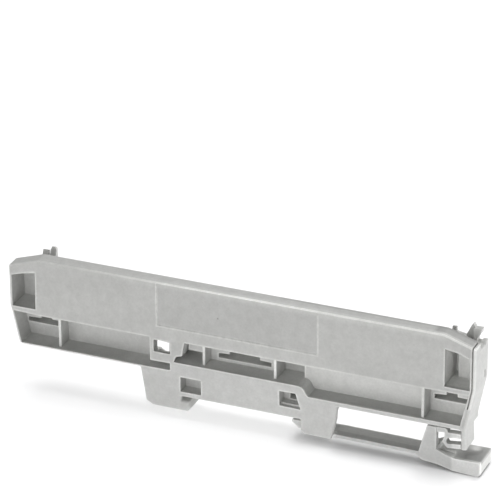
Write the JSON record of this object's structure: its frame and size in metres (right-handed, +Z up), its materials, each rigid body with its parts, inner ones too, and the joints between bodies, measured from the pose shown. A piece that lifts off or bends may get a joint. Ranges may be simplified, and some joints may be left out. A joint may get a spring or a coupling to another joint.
{
  "type": "terminal block end cover",
  "caption": "Long moulded end cover for a row of rail-mounted housings, with a foot for a 35 mm rail and a sprung sliding foot latch.",
  "frame": {"origin": "middle of the seat face under the foot, half way through the thickness", "axes": "+X along the cover towards the latch tab, +Y away from the front face, +Z up from the rail"},
  "size_m": [0.1482, 0.0112, 0.0439],
  "materials": {
    "cover_plastic": "fine matt moulded, light grey",
    "latch_plastic": "fine matt moulded, light grey"
  },
  "bodies": {
    "cover": {"end_cover_body": "cover_plastic", "latch_spring": "latch_plastic"},
    "latch": {"foot_latch": "latch_plastic"}
  },
  "joints": [
    {"name": "latch_slide", "type": "slide", "parent": "cover", "child": "latch", "axis": [1, 0, 0], "range_m": [0, 0.0022], "stiffness_N_per_m": 2500, "springref_m": -0.0008, "deforming": ["latch_spring"]}
  ]
}
